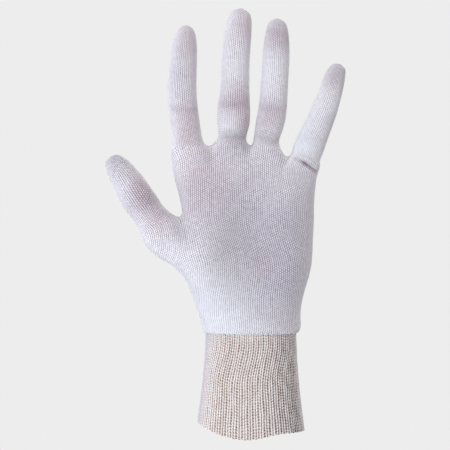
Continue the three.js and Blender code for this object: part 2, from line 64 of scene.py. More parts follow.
# Cuff, its outer sizes taken from the frame
CUFF_LENGTH = cuff_high[2] + GAP / 2
MOUTH_WIDTH = cuff_high[0] - cuff_low[0]
MOUTH_DEPTH = cuff_high[1] - cuff_low[1]
CUFF_TOP_WIDTH = 56.6
CUFF_TOP_DEPTH = 42
CUFF_FLARE = 1.6  # 1 widens evenly towards the mouth, more widens late
MOUTH_LOW = -0.065  # where the mouth hangs lowest: 0 is the front's middle, -1 the thumb's side
MOUTH_THUMB_SIDE = dict(lift=8.2, reach=0.8)  # lift above the lowest point, reached this far round
MOUTH_LITTLE_SIDE = dict(lift=3.5, reach=0.48)
MOUTH_BACK_LIFT = 12.5
RIBS = 54
RIB_RISE = 1.1
RIB_COURSE = 1.72  # height of a row of rib stitches
RIB_LEAN = 4  # how far the ribs lean towards the thumb's side on their way down
RIB_STEPS = 8  # columns of the mesh for each rib
COURSE_STEPS = 6  # rows of the mesh for each course
SEAM_RISE = 1  # how far above the frame's cuff the plain knit's lower edge sits
CUFF_TUCK = 0.35  # how far the ribs' tops lie inside the frame's cuff
CUFF_NECK = 1.2  # how much further the first row is drawn in, under the plain knit's edge
CUFF_OVERLAP = 0.012  # share of its length that it reaches up behind the plain knit
MOUTH_SCALLOP = 0.2  # how far a rib's end hangs below the mouth's line

# Plain-knit body
PALM_WIDTH = 89
PALM_LENGTH = 116
PALM_DEPTH = 30
THUMB_HEIGHT = 72
ROOT_DEPTH = 21
THUMB_ROOT_DEPTH = 23
OVAL_POWER = 2.4  # 2 is an ellipse, more is fuller at the corners
CORNER = 0.93  # where the corner columns of a palm section stand, as a share of its half width
SIDES = 12  # columns round a finger
PALM_COLUMNS = 16  # columns across the front of the palm
THUMB_COLUMNS = 4  # columns that the thumb's base adds to it
FIT_PASSES = 3
EDGE_SCALLOP = 0.25  # how far the ribs pull the lower edge up or down
EDGE_SCALLOP_REACH = 1.5  # how far up the cloth that pull is felt
LONG_RIPPLE = 0.1  # height of the slack cloth's long ripples
SHORT_RIPPLE = 0.06  # height of its short ones

FINGERS = {
    "index": dict(length=75.0, width=17.8, depth=16.8, lean=-2.2, curl=8),
    "middle": dict(length=83.5, width=18.0, depth=17.0, lean=4.0, curl=7),
    "ring": dict(length=80.2, width=18.0, depth=16.6, lean=3.3, curl=9),
    "little": dict(length=62.8, width=17.0, depth=15.4, lean=19.2, curl=9),
    "thumb": dict(length=53.3, width=20.4, depth=19.6, lean=-35.2, curl=9),
}

# Finger sections. along is a share of the finger's length, front and back are shares of its depth, and
# each finger's pair is its width there and its shift to the side, as shares of its own width. The first
# one leaves out the thumb, whose cloth runs on into the palm without a fold.
SECTIONS = [
    dict(along=0.05, front=0.57, back=0.55, index=(1.08, -0.096), middle=(0.97, 0.059),
         ring=(0.91, -0.077), little=(1.08, 0.039)),
    dict(along=0.15, front=0.55, back=0.52, index=(0.98, -0.136), middle=(1.1, 0.064),
         ring=(0.94, -0.017), little=(1.095, 0.039), thumb=(1.03, -0.075)),
    dict(along=0.28, front=0.5, back=0.54, index=(1.03, -0.206), middle=(1.11, 0.049),
         ring=(0.985, 0.063), little=(1.04, 0.064), thumb=(0.99, -0.07)),
    dict(along=0.45, front=0.54, back=0.48, index=(1.0, -0.241), middle=(0.98, 0.029),
         ring=(0.935, 0.088), little=(0.96, 0.104), thumb=(1.01, -0.07)),
    dict(along=0.65, front=0.49, back=0.46, index=(0.965, -0.181), middle=(0.95, -0.001),
         ring=(0.93, 0.088), little=(0.88, 0.114), thumb=(0.91, -0.035)),
    dict(along=0.85, front=0.44, back=0.38, index=(0.835, -0.086), middle=(0.91, 0.009),
         ring=(0.84, 0.073), little=(0.75, 0.079), thumb=(0.74, -0.02)),
    dict(along=0.95, front=0.33, back=0.28, index=(0.59, -0.026), middle=(0.72, 0.039),
         ring=(0.63, 0.063), little=(0.57, 0.074), thumb=(0.51, -0.03)),
]
TIP_SPREAD = 0.16  # of the finger's width
TIP_DROP = 0.014  # of its length

# The line of finger roots, from the index finger's outer side to the little finger's. across is a share
# of the palm's width from the cuff's axis, up of the palm's length, and the rest of its depth.
ROOTS = [
    dict(across=-0.545, up=0.965, depthwise=0.0, front=0.16, back=0.16, sag=0.0),
    dict(across=-0.281, up=1.0, depthwise=0.02, front=0.19, back=0.2, sag=0.02),
    dict(across=-0.01, up=1.006, depthwise=0.02, front=0.19, back=0.2, sag=0.02),
    dict(across=0.245, up=0.943, depthwise=0.02, front=0.19, back=0.2, sag=0.02),
    dict(across=0.474, up=0.89, depthwise=0.0, front=0.15, back=0.15, sag=0.0),
]
THUMB_WEB = dict(across=-0.483, depthwise=-0.14, front=0.2, back=0.24, sag=0.02)
THUMB_OUTSIDE = dict(across=-0.742, up=0.806, depthwise=-0.26)  # up is a share of THUMB_HEIGHT

# Palm sections from the finger roots, 0, down to the thumb's web, 1. left and right are shares of the
# palm's width, front and back of its depth.
UPPER_ROWS = [
    dict(down=0.2, left=-0.546, right=0.459, front=0.4, back=0.38),
    dict(down=0.46, left=-0.523, right=0.444, front=0.45, back=0.44),
    dict(down=0.74, left=-0.492, right=0.438, front=0.47, back=0.46),
    dict(down=1.0, left=-0.483, right=0.436, front=0.47, back=0.48),
]

# Palm sections with the thumb's base in them, down to the wrist. The two heights are shares of the
# thumb web's height at each side, and forward says how far the thumb's side lies in front.
LOWER_ROWS = [
    dict(right_up=0.833, left_up=0.681, left=-0.67, right=0.431, front=0.53, back=0.5, forward=0.25),
    dict(right_up=0.667, left_up=0.569, left=-0.524, right=0.423, front=0.56, back=0.53, forward=0.22),
    dict(right_up=0.5, left_up=0.444, left=-0.444, right=0.403, front=0.6, back=0.56, forward=0.14),
    dict(right_up=0.333, left_up=0.312, left=-0.402, right=0.362, front=0.64, back=0.6, forward=0.07),
    dict(right_up=0.18, left_up=0.175, left=-0.366, right=0.343, front=0.68, back=0.65, forward=0.02),
    dict(right_up=0.085, left_up=0.085, left=-0.342, right=0.344, front=0.71, back=0.69, forward=0),
    dict(right_up=0.03, left_up=0.03, left=-0.33, right=0.334, front=0.71, back=0.7, forward=0),
]

# Mounds and hollows of the cloth. side is -1 on the palm and 1 on the back. across and wide are shares of
# the palm's width, up and high of its length, and rise of its depth.
KNUCKLE = dict(side=1, wide=0.08, high=0.09)
MOUNDS = {
    "thumb mound": dict(side=-1, across=-0.32, up=0.36, wide=0.21, high=0.27, rise=0.2),
    "heel mound": dict(side=-1, across=0.26, up=0.34, wide=0.15, high=0.3, rise=0.1),
    "palm hollow": dict(side=-1, across=-0.01, up=0.6, wide=0.2, high=0.22, rise=-0.12),
    "index pad": dict(side=-1, across=-0.4, up=0.88, wide=0.1, high=0.1, rise=0.08),
    "little pad": dict(side=-1, across=0.3, up=0.78, wide=0.12, high=0.1, rise=0.08),
    "index knuckle": dict(KNUCKLE, across=-0.4, up=0.86, rise=0.07),
    "middle knuckle": dict(KNUCKLE, across=-0.13, up=0.88, rise=0.08),
    "ring knuckle": dict(KNUCKLE, across=0.12, up=0.85, rise=0.07),
    "little knuckle": dict(KNUCKLE, across=0.33, up=0.78, rise=0.06),
}

# Creases of the palm side, between two points, across and up as for the mounds. wide is a share of the
# palm's length, depth counts thicknesses of the knit, lip is the roll of cloth above the crease, and
# shade is how strongly the yarn along the crease is darkened with painted shade.
JOINT = dict(wide=0.022, depth=0.8, lip=0.4)
ROOT = dict(wide=0.02, depth=0.6, lip=0.4)
CREASES = {
    "index joint": dict(JOINT, start=(-0.57, 1.19), end=(-0.34, 1.18), shade=0.15),
    "middle joint": dict(JOINT, start=(-0.23, 1.212), end=(-0.01, 1.214), shade=0.18),
    "ring joint": dict(JOINT, start=(0.03, 1.195), end=(0.24, 1.185), shade=0.14),
    "ring tip": dict(start=(0.09, 1.6), end=(0.18, 1.585), wide=0.016, depth=0.5, lip=0.2, shade=0.15),
    "middle root": dict(ROOT, start=(-0.23, 1.04), end=(-0.035, 1.044), shade=0.2),
    "ring root": dict(ROOT, start=(0.035, 1.043), end=(0.2, 1.02), shade=0.12),
    "little middle": dict(start=(0.318, 1.045), end=(0.51, 1.03), wide=0.02, depth=0.4, lip=0.2, shade=0.08),
    "little root": dict(start=(0.365, 0.905), end=(0.445, 0.862), wide=0.011, depth=0.7, lip=0.4, shade=0.7),
    "little web": dict(start=(0.3, 0.93), end=(0.365, 0.905), wide=0.012, depth=0.4, lip=0.3, shade=0.3),
}

# Soft patches in the plain knit: tints of the yarn, painted shade and painted highlights. at is across
# and up as for the mounds, size is a share of the palm's length. The first two amounts tint the yarn pink
# and grey and also darken it as painted shade; the third lightens it as a painted highlight.
PATCHES = {
    "palm middle": dict(at=(0.0, 0.6), size=0.36, grey_and_shade=0.6),
    "palm right": dict(at=(0.32, 0.45), size=0.28, grey_and_shade=0.3),
    "palm spot": dict(at=(0.076, 0.365), size=0.06, pink_and_shade=0.5),
    "heel": dict(at=(0.14, 0.22), size=0.2, grey_and_shade=0.65),
    "wrist band": dict(at=(-0.1, 0.03), size=0.24, painted_highlight=0.7),
    "wrist side": dict(at=(-0.34, 0.2), size=0.2, painted_highlight=0.6),
    "thumb mound": dict(at=(-0.56, 0.47), size=0.16, painted_highlight=0.3),
    "index tip": dict(at=(-0.42, 1.53), size=0.08, pink_and_shade=0.6, grey_and_shade=0.1),
    "index right": dict(at=(-0.38, 1.37), size=0.07, pink_and_shade=0.3),
    "index left": dict(at=(-0.55, 1.37), size=0.1, painted_highlight=0.3, grey_and_shade=0.5),
    "index joint": dict(at=(-0.4, 1.17), size=0.08, pink_and_shade=0.4),
    "index lower": dict(at=(-0.42, 1.07), size=0.1, pink_and_shade=0.6),
    "index base": dict(at=(-0.34, 0.8), size=0.14, pink_and_shade=0.55, grey_and_shade=0.15),
    "middle tip": dict(at=(-0.03, 1.62), size=0.07, pink_and_shade=0.7),
    "middle left": dict(at=(-0.14, 1.4), size=0.12, painted_highlight=0.4),
    "middle joint": dict(at=(-0.07, 1.23), size=0.09, pink_and_shade=0.9, grey_and_shade=0.4),
    "middle right": dict(at=(-0.02, 1.11), size=0.05, pink_and_shade=0.9, grey_and_shade=0.5),
    "middle low": dict(at=(-0.15, 1.1), size=0.06, painted_highlight=0.7),
    "middle root": dict(at=(-0.07, 1.02), size=0.08, grey_and_shade=0.6),
    "ring tip": dict(at=(0.145, 1.57), size=0.08, pink_and_shade=0.5, grey_and_shade=0.5),
    "ring right": dict(at=(0.25, 1.55), size=0.05, pink_and_shade=0.6, grey_and_shade=0.4),
    "ring middle": dict(at=(0.13, 1.37), size=0.12, painted_highlight=0.5),
    "ring joint": dict(at=(0.145, 1.165), size=0.08, pink_and_shade=0.5),
    "ring root": dict(at=(0.16, 0.99), size=0.07, grey_and_shade=0.1),
    "little tip": dict(at=(0.56, 1.36), size=0.06, pink_and_shade=0.4, grey_and_shade=0.5),
    "little middle": dict(at=(0.45, 1.17), size=0.12, painted_highlight=0.4),
    "little root": dict(at=(0.36, 1.0), size=0.09, painted_highlight=1.0),
    "little right": dict(at=(0.55, 1.11), size=0.05, grey_and_shade=0.3),
    "little low": dict(at=(0.44, 1.02), size=0.06, pink_and_shade=0.3),
    "thumb tip": dict(at=(-0.94, 0.92), size=0.07, grey_and_shade=0.5),
    "thumb left": dict(at=(-0.92, 0.77), size=0.08, painted_highlight=0.6),
    "thumb ball": dict(at=(-0.74, 0.78), size=0.08, pink_and_shade=0.9, grey_and_shade=0.2),
    "thumb crook": dict(at=(-0.69, 0.73), size=0.06, pink_and_shade=1.0, grey_and_shade=1.0),
    "thumb inside": dict(at=(-0.62, 0.62), size=0.09, pink_and_shade=0.7),
}


# Shape of the plain knit: a cage of four-sided faces, as in the part's source, smoothed by subdivision


def fuller(value):
    """Turns a cosine or sine into that of the full oval."""
    return np.sign(value) * np.abs(value) ** (2 / OVAL_POWER)


def bulge(t):
    """How far out half of a full oval is at t, where t runs from -1 to 1 across it."""
    return (1 - abs(t) ** OVAL_POWER) ** (1 / OVAL_POWER)


def lerp(a, b, share):
    return a + (b - a) * share


def smoothstep(value, low, high):
    t = np.clip((value - low) / (high - low), 0, 1)
    return t * t * (3 - 2 * t)


def mound_rise(side, x, z):
    """How far the mounds and hollows of one side lift the cloth at x and z."""
    total = 0
    for mound in MOUNDS.values():
        dx = (x - mound["across"] * PALM_WIDTH) / (mound["wide"] * PALM_WIDTH)
        dz = (z - CUFF_LENGTH - mound["up"] * PALM_LENGTH) / (mound["high"] * PALM_LENGTH)
        if mound["side"] == side:
            total += mound["rise"] * PALM_DEPTH * math.exp(-dx * dx - dz * dz)
    return total


class Cage:
    """Where the smooth cloth should pass, and its four-sided faces with the stitches counted on them."""

    def __init__(self):
        self.targets = []
        self.courses = []
        self.faces = []
        self.stitches = []

    def add(self, place, course=None):
        """Adds a point. Its course is counted from the cuff's mouth unless it is given."""
        self.targets.append(np.array(place, float))
        self.courses.append(place[2] / COURSE if course is None else course)
        return len(self.targets) - 1

    def face(self, corners, wales):
        self.faces.append(tuple(corners))
        self.stitches.append([(wale, self.courses[i]) for wale, i in zip(wales, corners)])

    def band(self, lower, upper, lower_wales, upper_wales):
        """Faces between two rings. The wales come as a pair for each face: at its start and its end."""
        for k, (low, high) in enumerate(zip(lower_wales, upper_wales)):
            after = (k + 1) % len(lower)
            corners = (lower[k], upper[k], upper[after], lower[after])
            self.face(corners, (low[0], high[0], high[1], low[1]))


def pairs(values):
    return list(zip(values[:-1], values[1:]))


def finger_wales(counts, first=0.0, back_shift=0.0):
    """Wale numbers round a finger from the count in each column, as a pair for each of them."""
    whole = first + np.cumsum([0, *counts])
    half = SIDES // 2
    return pairs(whole[: half + 1]) + pairs(whole[half:] + back_shift)


def palm_wales(cage, ring, reference, middle, natural):
    """Wale numbers round a palm section, counted from the front's middle towards both sides.

    natural 0 gives each column its number of wales at the finger roots, 1 gives each wale its own width.
    """
    places = np.array([cage.targets[i] for i in [*ring, ring[0]]])
    along = np.concatenate([[0], np.cumsum(np.linalg.norm(np.diff(places, axis=0), axis=1))]) / WALE
    line = WEB_WALES + 4 * ROOT_WALES + WEB_WALES
    even = np.cumsum([0, *(4 * line)[:len(ring)]])
    front = lerp(even, even[reference] + along - along[reference], natural)
    back = front[0] + lerp(even - even[-1], along - along[-1], natural)
    return front, back, pairs(front[: middle + 1]) + pairs(back[middle:])


def oval_point(centre, across, half_width, front, back, column):
    """A point of an oval by column, of twelve, starting at +X and running to the front."""
    angle = column / SIDES * 2 * math.pi
    depth = front if math.sin(angle) > 0 else back
    return centre + across * half_width * fuller(math.cos(angle)) - [0, depth * fuller(math.sin(angle)), 0]


def add_web(cage, web, z):
    """The three points of a web, in front, between and behind, that two neighbouring tubes share."""
    x = web["across"] * PALM_WIDTH
    y = web["depthwise"] * PALM_DEPTH
    low = z - web["sag"] * PALM_LENGTH
    return dict(
        front=cage.add((x, y - web["front"] * PALM_DEPTH, low)),
        middle=cage.add((x, y, z)),
        back=cage.add((x, y + web["back"] * PALM_DEPTH, low)),
    )


def span(right, left):
    """The middle, direction and half width of the line from a tube's left side to its right."""
    across = right - left
    half_width = np.linalg.norm(across) / 2
    return (right + left) / 2, across / (2 * half_width), half_width


def add_root(cage, right, left):
    """The root ring of a finger between two webs."""
    centre, across, half_width = span(cage.targets[right["middle"]], cage.targets[left["middle"]])
    half = ROOT_DEPTH / 2
    front, back = (
        [cage.add(oval_point(centre, across, half_width, half, half, k)) for k in columns]
        for columns in ((2, 3, 4), (8, 9, 10))
    )
    ring = [right["middle"], right["front"], *front, left["front"]]
    ring += [left["middle"], left["back"], *back, right["back"]]
    wales = finger_wales((WEB_WALES + ROOT_WALES + WEB_WALES) * 2)
    own_wales = finger_wales([WALES_PER_COLUMN] * SIDES)
    return dict(ring=ring, centre=centre, front=front, back=back, wales=wales, own_wales=own_wales)


def add_finger(cage, name, root):
    """A finger from its root ring to its closed tip."""
    finger = FINGERS[name]
    lean = math.radians(finger["lean"])
    along = np.array([math.sin(lean), 0, math.cos(lean)])
    across = np.array([math.cos(lean), 0, -math.sin(lean)])
    first_course = np.mean([cage.courses[i] for i in root["ring"]])
    root_wales = np.array(root["wales"])
    own_wales = np.array(root["own_wales"])

    def axis(share, shift):
        bend = np.array([0, -finger["curl"] * share**1.7, 0])
        return root["centre"] + along * share * finger["length"] + across * shift * finger["width"] + bend

    def wales_at(share):
        return lerp(root_wales, own_wales, smoothstep(share, 0, 0.45))

    def course(share, column):
        first = lerp(cage.courses[root["ring"][column]], first_course, smoothstep(share, 0, 0.6))
        return first + share * finger["length"] / COURSE

    ring = root["ring"]
    lower_wales = wales_at(0)
    for section in SECTIONS:
        if name not in section:
            continue
        width, shift = section[name]
        centre = axis(section["along"], shift)
        half_width = width * finger["width"] / 2
        depths = (section["front"] * finger["depth"], section["back"] * finger["depth"])
        upper = [
            cage.add(
                oval_point(centre, across, half_width, *depths, column),
                course(section["along"], column),
            )
            for column in range(SIDES)
        ]
        wales = wales_at(section["along"])
        cage.band(ring, upper, lower_wales, wales)
        ring = upper
        lower_wales = wales
    inner = [
        cage.add(axis(1 - TIP_DROP * abs(side), shift + TIP_SPREAD * side), course(1, 0))
        for side in (1, 0, -1)
    ]
    middle = [ring[0], *inner, ring[6]]
    front = ring[1:6]
    back = [ring[11], ring[10], ring[9], ring[8], ring[7]]
    for i in range(4):
        start, end = wales[1 + i]
        cage.face((front[i], middle[i], middle[i + 1], front[i + 1]), (start, start, end, end))
        end, start = wales[10 - i]
        cage.face((middle[i], back[i], back[i + 1], middle[i + 1]), (start, start, end, end))


def section_ring(row, shares, heights, midlines, roundness):
    """The closed line round a palm section. shares, heights and midlines hold one value for each column.

    roundness 0 leaves the columns as they are, 1 spaces them as round an oval.
    """
    left = row["left"] * PALM_WIDTH
    right = row["right"] * PALM_WIDTH
    half = (right - left) / 2

    def surface(side, column):
        even = 1 - 2 * shares[column]
        oval = math.sin(even * math.pi / 3) / math.sin(math.pi / 3)
        t = CORNER * lerp(even, oval, roundness)
        x = (left + right) / 2 + t * half
        z = heights[column]
        depth = row["front" if side < 0 else "back"] * PALM_DEPTH * bulge(t) + mound_rise(side, x, z)
        return x, midlines[column] + side * depth, z

    columns = range(len(shares))
    front = [surface(-1, column) for column in columns]
    back = [surface(1, column) for column in reversed(columns)]
    right_end = (right, midlines[0], heights[0])
    left_end = (left, midlines[-1], heights[-1])
    return right_end, front, left_end, back


def ring_points(cage, section):
    right_end, front, left_end, back = section
    return [cage.add(place) for place in [right_end, *front, left_end, *back]]


def shares_across(cage, front):
    """Where the columns of a ring's front stand, as shares of the way from its right to its left."""
    x_of = [cage.targets[i][0] for i in front]
    return [(x_of[0] - x) / (x_of[0] - x_of[-1]) for x in x_of]


def add_upper_palm(cage, roots, webs):
    """The cloth from the finger roots to the thumb's web."""
    order = ("little", "ring", "middle", "index")
    between = webs[::-1]
    top_front = []
    top_back = []
    for name, web in zip(order, between):
        top_front += [web["front"], *roots[name]["front"]]
        top_back += [web["back"], *roots[name]["back"][::-1]]
    top_front.append(webs[0]["front"])
    top_back.append(webs[0]["back"])
    ring = [webs[4]["middle"], *top_front, webs[0]["middle"], *top_back[::-1]]
    shares = shares_across(cage, top_front)
    base = CUFF_LENGTH + THUMB_HEIGHT
    reference = PALM_COLUMNS // 2
    middle = PALM_COLUMNS + 2

    def section_at(row):
        heights = [lerp(cage.targets[i][2], base, row["down"]) for i in top_front]
        return section_ring(row, shares, heights, [0] * len(shares), 0)

    wales = palm_wales(cage, ring, reference, middle, 0)[2]
    for row in UPPER_ROWS[:-1]:
        lower = ring_points(cage, section_at(row))
        lower_wales = palm_wales(cage, lower, reference, middle, smoothstep(row["down"], 0, 0.6))[2]
        cage.band(lower, ring, lower_wales, wales)
        ring = lower
        wales = lower_wales
    right_end, front, _, back = section_at(UPPER_ROWS[-1])
    web = add_web(cage, THUMB_WEB, base)
    right_end = cage.add(right_end)
    front = [cage.add(place) for place in front[:-1]]
    back = [cage.add(place) for place in back[1:]]
    lowest = [right_end, *front, web["front"], web["middle"], web["back"], *back]
    cage.band(lowest, ring, palm_wales(cage, lowest, reference, middle, 1)[2], wales)
    return dict(web=web, right_end=right_end, front=front, back=back)


def add_thumb_root(cage, web):
    """The root ring of the thumb, from its web round the outer side of the palm."""
    outside = np.array([
        THUMB_OUTSIDE["across"] * PALM_WIDTH,
        THUMB_OUTSIDE["depthwise"] * PALM_DEPTH,
        CUFF_LENGTH + THUMB_OUTSIDE["up"] * THUMB_HEIGHT,
    ])
    centre, across, half_width = span(cage.targets[web["middle"]], outside)
    half = THUMB_ROOT_DEPTH / 2
    own = [cage.add(oval_point(centre, across, half_width, half, half, k)) for k in range(2, SIDES - 1)]
    return dict(ring=[web["middle"], web["front"], *own, web["back"]], centre=centre)


def add_lower_palm(cage, upper, thumb):
    """The cloth from the thumb's web to the wrist. It gives the thumb's root its wale numbers."""
    columns = PALM_COLUMNS + THUMB_COLUMNS
    reference = PALM_COLUMNS // 2
    middle = columns + 2
    front = [*upper["front"], *thumb["ring"][1:6]]
    back = [*thumb["ring"][7:12], *upper["back"]]
    ring = [upper["right_end"], *front, thumb["ring"][6], *back]
    top_shares = shares_across(cage, front)
    front_wales, back_wales, wales = palm_wales(cage, ring, reference, middle, 1)
    count_thumb_wales(thumb, front_wales[PALM_COLUMNS:middle + 1], back_wales[middle:middle + 6])
    for index, row in enumerate(LOWER_ROWS):
        progress = (index + 1) / len(LOWER_ROWS)
        shares = [lerp(share, column / columns, progress) for column, share in enumerate(top_shares)]
        climbs = [lerp(row["right_up"], row["left_up"], smoothstep(share, 0.45, 1)) for share in shares]
        heights = [CUFF_LENGTH + THUMB_HEIGHT * climb for climb in climbs]
        midlines = [-row["forward"] * PALM_DEPTH * smoothstep(share, 0.3, 1) for share in shares]
        lower = ring_points(cage, section_ring(row, shares, heights, midlines, progress))
        lower_wales = palm_wales(cage, lower, reference, middle, 1)[2]
        cage.band(lower, ring, lower_wales, wales)
        ring = lower
        wales = lower_wales
    half_width = CUFF_TOP_WIDTH / 2 / PALM_WIDTH
    half_depth = CUFF_TOP_DEPTH / 2 / PALM_DEPTH
    wrist_row = dict(left=-half_width, right=half_width, front=half_depth, back=half_depth)
    even = [column / columns for column in range(columns + 1)]
    edge = [CUFF_LENGTH + SEAM_RISE] * len(even)
    wrist = ring_points(cage, section_ring(wrist_row, even, edge, [0] * len(even), 1))
    cage.band(wrist, ring, palm_wales(cage, wrist, reference, middle, 1)[2], wales)


def count_thumb_wales(thumb, front, back):
    """front holds the palm's wale numbers at the thumb's columns 0 to 6, back those at 6 to 11."""
    first = front[3] - 3 * WALES_PER_COLUMN
    shift = round(back[3] - (first + 9 * WALES_PER_COLUMN))
    near_web = back[-1] + WALES_PER_COLUMN
    thumb["wales"] = pairs(front) + pairs([*back, near_web])
    thumb["own_wales"] = finger_wales([WALES_PER_COLUMN] * SIDES, first, shift)


def hand_cage():
    cage = Cage()
    webs = [add_web(cage, web, CUFF_LENGTH + web["up"] * PALM_LENGTH) for web in ROOTS]
    roots = {}
    for i, name in enumerate(("index", "middle", "ring", "little")):
        roots[name] = add_root(cage, webs[i + 1], webs[i])
    upper = add_upper_palm(cage, roots, webs)
    roots["thumb"] = add_thumb_root(cage, upper["web"])
    add_lower_palm(cage, upper, roots["thumb"])
    for name in FINGERS:
        add_finger(cage, name, roots[name])
    return cage


def edge_uses(faces):
    """How many faces use each edge."""
    uses = {}
    for face in faces:
        for a, b in zip(face, face[1:] + face[:1]):
            edge = (min(a, b), max(a, b))
            uses[edge] = uses.get(edge, 0) + 1
    return uses


def fit_points(cage):
    """Cage points whose smooth surface passes close to the targets."""
    near = [set() for _ in cage.targets]
    far = [[] for _ in cage.targets]
    rim = [[] for _ in cage.targets]
    for corners in cage.faces:
        for k, a in enumerate(corners):
            far[a].append(corners[(k + 2) % 4])
    for (a, b), count in edge_uses(cage.faces).items():
        near[a].add(b)
        near[b].add(a)
        if count == 1:
            rim[a].append(b)
            rim[b].append(a)
    targets = np.array(cage.targets)
    points = targets.copy()
    for _ in range(FIT_PASSES):
        smooth = np.empty_like(points)
        for i, own in enumerate(points):
            if rim[i]:
                smooth[i] = lerp(own, points[rim[i]].mean(axis=0), 1 / 3)
                continue
            n = len(near[i])
            total = own * n * n + 4 * points[list(near[i])].sum(axis=0) + points[far[i]].sum(axis=0)
            smooth[i] = total / (n * (n + 5))
        points += targets - smooth
    return points


def fit_stitches(cage):
    """Wale and course numbers at the faces' corners that come out as counted once they are smoothed."""
    faces = np.array(cage.faces)
    counted = np.array(cage.stitches)
    low = np.full((len(cage.targets), 2), np.inf)
    high = -low
    np.minimum.at(low, faces, counted)
    np.maximum.at(high, faces, counted)
    uses = np.bincount(faces.ravel())[:, None]
    inside = (uses > 2) & (high - low < 1e-6).all(axis=1, keepdims=True)
    fitted = counted.copy()
    for _ in range(FIT_PASSES):
        beside = np.roll(fitted, 1, axis=1) + np.roll(fitted, -1, axis=1)
        total = np.zeros_like(low)
        np.add.at(total, faces, 2 * beside + np.roll(fitted, 2, axis=1))
        n = uses[faces]
        smooth = (n * n * fitted + total[faces]) / (n * (n + 5))
        fitted += np.where(inside[faces], counted - smooth, 0)
    return fitted


# Meshes


def new_object(name, mesh):
    made = bpy.data.objects.new(name, mesh)
    bpy.context.scene.collection.objects.link(made)
    return made


def new_mesh(name, points, faces, uvs=None):
    """A mesh of points in millimetres. uvs holds one pair for each corner of each face."""
    mesh = bpy.data.meshes.new(name)
    mesh.from_pydata([tuple(p) for p in np.asarray(points) * MM], [], faces)
    if uvs is not None:
        layer = mesh.uv_layers.new(name="knit")
        layer.data.foreach_set("uv", np.asarray(uvs, np.float32).ravel())
    return mesh


def read(items, name, size):
    """What a mesh's points or corners hold under a name, as rows of size numbers."""
    values = np.empty(len(items) * size, np.float32)
    items.foreach_get(name, values)
    return values.reshape(-1, size).astype(float)


def store(mesh, name, values):
    """Keeps one number for each point of the mesh, for its material to read."""
    attribute = mesh.attributes.new(name, "FLOAT", "POINT")
    attribute.data.foreach_set("value", np.asarray(values, np.float32))


def subdivided(mesh, levels):
    """A copy of the mesh, subdivided, with its points on the smooth surface."""
    holder = new_object("cage", mesh)
    smooth = holder.modifiers.new("smooth", "SUBSURF")
    smooth.levels = levels
    smooth.render_levels = levels
    smooth.uv_smooth = "PRESERVE_BOUNDARIES"
    graph = bpy.context.evaluated_depsgraph_get()
    made = bpy.data.meshes.new_from_object(holder.evaluated_get(graph))
    bpy.data.objects.remove(holder)
    return made


def palm_place(pair):
    """A point given as across and up, in millimetres."""
    return np.array([pair[0] * PALM_WIDTH, CUFF_LENGTH + pair[1] * PALM_LENGTH])


def from_crease(crease, places):
    """How far points lie above a crease, counted in its width, and how near they are to its length."""
    flat = places[:, [0, 2]]
    start = palm_place(crease["start"])
    run = palm_place(crease["end"]) - start
    length = np.linalg.norm(run)
    width = crease["wide"] * PALM_LENGTH
    along = (flat - start) @ run / length
    beyond = along - np.clip(along, 0, length)
    above = (flat - start) @ np.array([-run[1], run[0]]) / length
    return above / width, np.exp(-((beyond / (1.5 * width)) ** 2))


def crease_relief(places):
    """How far each point of the palm side is lifted by the creases and the rolls above them."""
    relief = np.zeros(len(places))
    for crease in CREASES.values():
        above, near = from_crease(crease, places)
        relief -= crease["depth"] * KNIT * near * np.exp(-(above**2))
        relief += crease["lip"] * KNIT * near * np.exp(-(((above - 1.7) / 1.2) ** 2))
    return relief


def crease_shade(places):
    """Painted shade: how much darker the yarn is coloured along the creases, where the folds lie in shadow.
    """
    shade = np.zeros(len(places))
    for crease in CREASES.values():
        above, near = from_crease(crease, places)
        shade += crease["shade"] * near * np.exp(-(((above + 0.2) / 0.9) ** 2))
    return np.clip(shade, 0, 1)


def slack(places):
    """The cloth's own unevenness: long shallow ripples, a fraction of a millimetre high."""
    x, y, z = places.T
    long_ripple = np.sin(0.19 * x + 0.11 * z + 1.3) * np.sin(0.16 * z - 0.07 * x + 0.2 * y)
    short_ripple = np.sin(0.43 * x - 0.31 * z + 0.5 * y) * np.sin(0.37 * z + 0.29 * x + 2.1)
    return LONG_RIPPLE * long_ripple + SHORT_RIPPLE * short_ripple


def seam_pull(places):
    """How far the plain knit's lower edge, pulled by the cuff's ribs, lies above or below its level."""
    above = places[:, 2] - CUFF_LENGTH - SEAM_RISE
    turn = np.arctan2(places[:, 0], -places[:, 1])
    uneven = 1 + np.sin(7 * turn)
    return EDGE_SCALLOP * np.cos(RIBS * turn) * uneven * np.exp(-((above / EDGE_SCALLOP_REACH) ** 2))


def shaped(mesh, inset):
    """Points of the smoothed plain knit in millimetres, creased, and moved inwards by inset."""
    places = read(mesh.vertices, "co", 3) / MM
    normals = read(mesh.vertices, "normal", 3)
    facing = np.clip(-normals[:, 1], 0, 1)
    lift = crease_relief(places) * facing + slack(places) - inset
    places[:, 2] += seam_pull(places)
    return places + normals * lift[:, None]


def rim_loop(faces, places):
    """The open edge's points in order of their angle round the cuff's axis."""
    loop = sorted({i for edge, count in edge_uses(faces).items() if count == 1 for i in edge})
    return sorted(loop, key=lambda i: math.atan2(places[i][1], places[i][0]))


